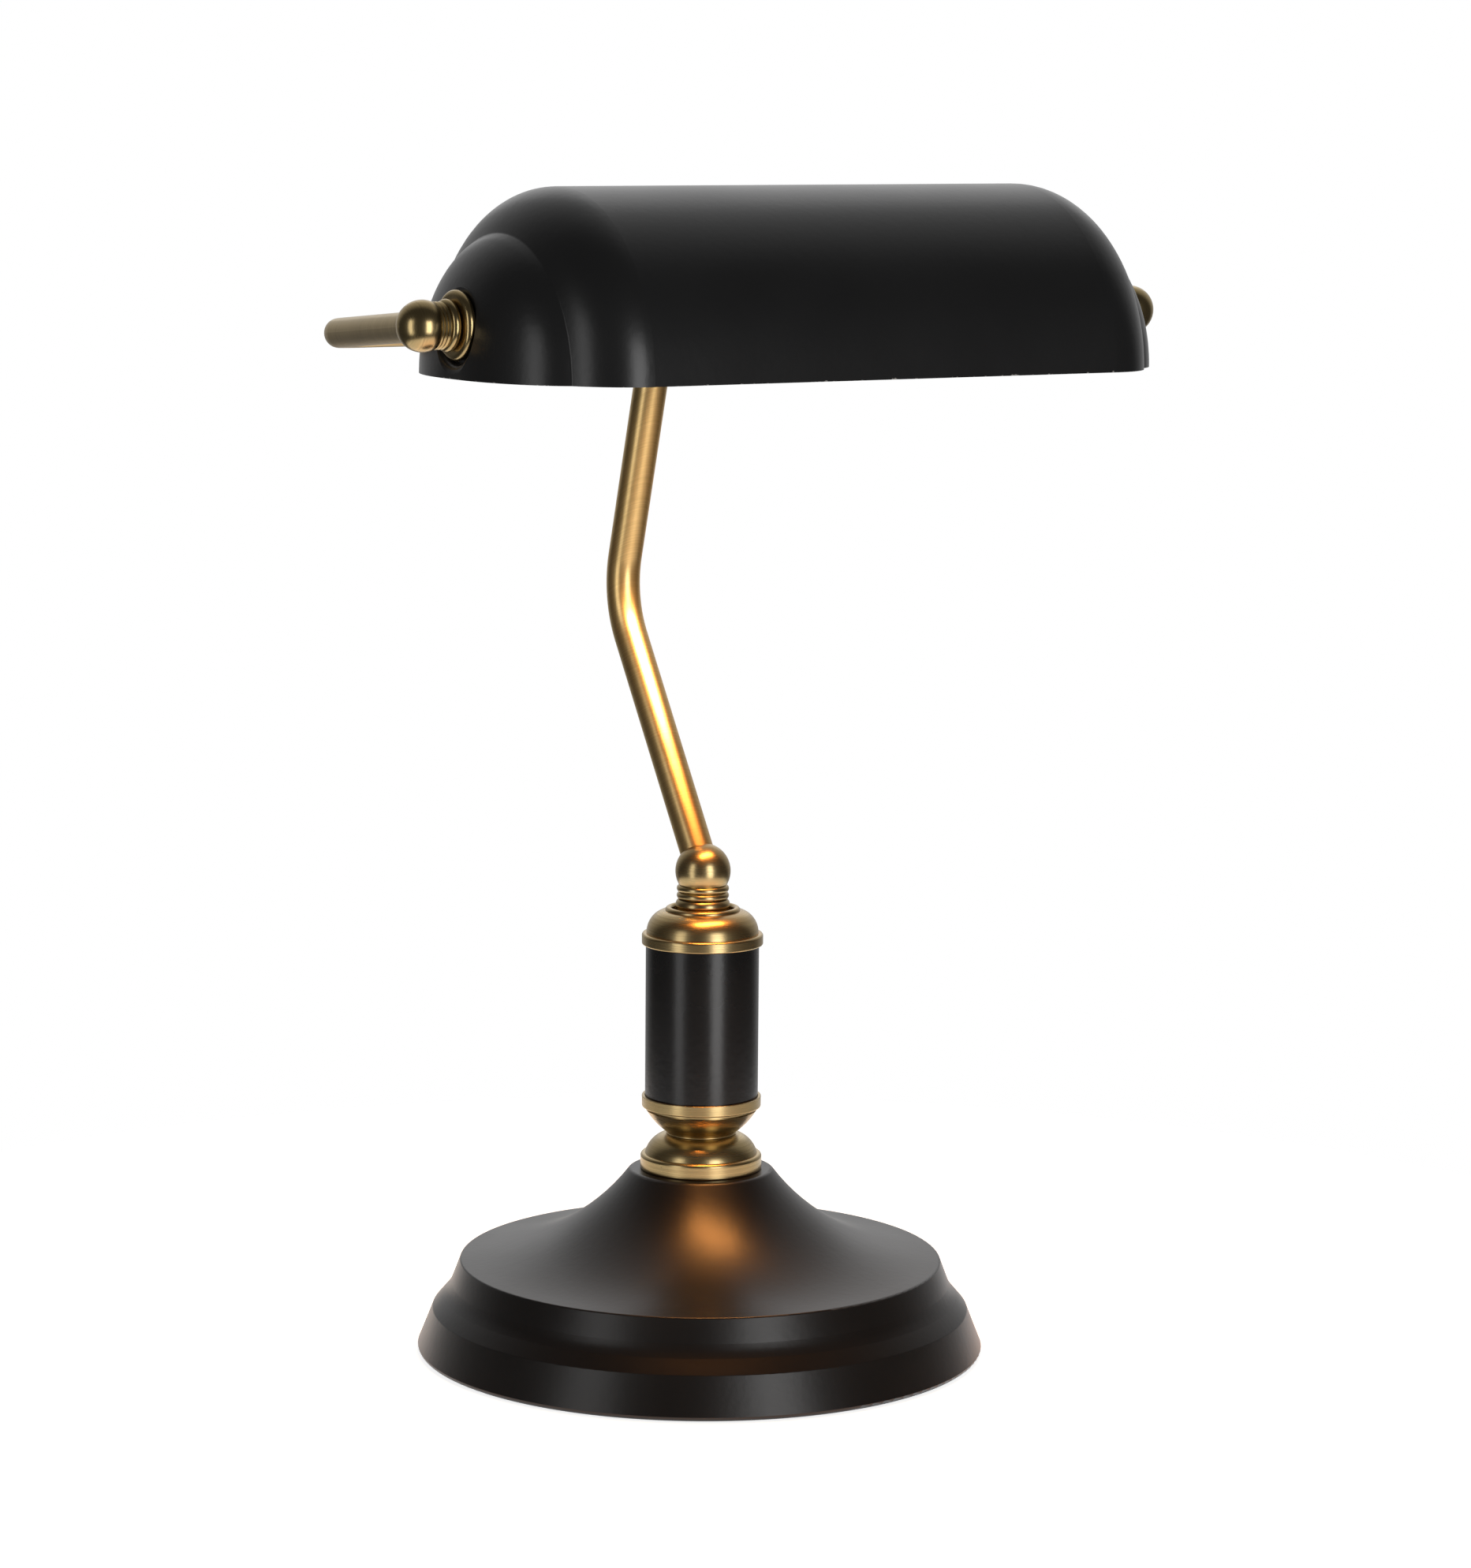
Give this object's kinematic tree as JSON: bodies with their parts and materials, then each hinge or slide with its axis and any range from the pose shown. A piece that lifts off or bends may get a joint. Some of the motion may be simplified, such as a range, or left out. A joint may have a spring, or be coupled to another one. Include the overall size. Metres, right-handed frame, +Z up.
{
  "type": "desk lamp",
  "caption": "Banker's desk lamp: trough shade that tilts in a bow, on a bent stem that swivels on a round column and a stepped weighted base.",
  "frame": {"origin": "centre of the felt pad's underside, on the column's axis, on the table", "axes": "+Z up along the column, +X along the shade towards the lamp's right end, -Y towards the open front under the shade"},
  "size_m": [0.2988, 0.2172, 0.4127],
  "materials": {
    "black_enamel": "satin black powder coat",
    "shade_enamel": "satin black powder coat",
    "antique_brass": "antique brass, brushed and lacquered",
    "plain_brass": "plain turned brass",
    "zinc_steel": "zinc-plated steel",
    "cast_iron": "rough casting",
    "felt": "pressed felt",
    "bush_rubber": "matt black rubber",
    "holder_plastic": "black phenolic",
    "cap_metal": "rolled thread",
    "cap_insulator": "black vitrite",
    "lit_glass": "opal, lit, emissive"
  },
  "bodies": {
    "stand": {"felt_pad": "felt", "base_cover": "zinc_steel", "cover_screws": "zinc_steel", "base_weight": "cast_iron", "earth_screw": "plain_brass", "base_shell": "black_enamel", "cable_bush": "bush_rubber", "rod_washer": "zinc_steel", "rod_nut": "zinc_steel", "base_spacer": "zinc_steel", "column_rod": "zinc_steel", "column_foot": "antique_brass", "column_cup": "antique_brass", "column_tube": "black_enamel", "column_cap": "antique_brass", "swivel_base": "antique_brass"},
    "arm": {"swivel_ball": "antique_brass", "swivel_clip": "zinc_steel", "stem_tube": "antique_brass", "bow_hub": "antique_brass", "bow_tube_left": "antique_brass", "bow_tube_right": "antique_brass", "end_ball_left": "antique_brass", "end_ball_right": "antique_brass", "pivot_collar_left": "antique_brass", "pivot_collar_right": "antique_brass", "pivot_nipple_left": "plain_brass", "pivot_nipple_right": "plain_brass", "spring_washer_left": "zinc_steel", "spring_washer_right": "zinc_steel", "pivot_nut_left": "zinc_steel", "pivot_nut_right": "zinc_steel", "holder_cap": "holder_plastic", "holder_body": "holder_plastic", "screw_sleeve": "plain_brass", "centre_contact": "plain_brass", "bulb_tip": "cap_insulator", "bulb_cap": "cap_metal", "bulb_glass": "lit_glass"},
    "shade": {"shade_shell": "shade_enamel", "pivot_flange_left": "antique_brass", "pivot_flange_right": "antique_brass", "inner_washer_left": "zinc_steel", "inner_washer_right": "zinc_steel"}
  },
  "joints": [
    {"name": "arm_swivel", "type": "hinge", "parent": "stand", "child": "arm", "pos_m": [0, 0, 0.1619], "axis": [0, 0, 1], "range_deg": [-90, 90]},
    {"name": "shade_tilt", "type": "hinge", "parent": "arm", "child": "shade", "pos_m": [0, -0.0544, 0.3684], "axis": [1, 0, 0], "range_deg": [-60, 60]}
  ]
}
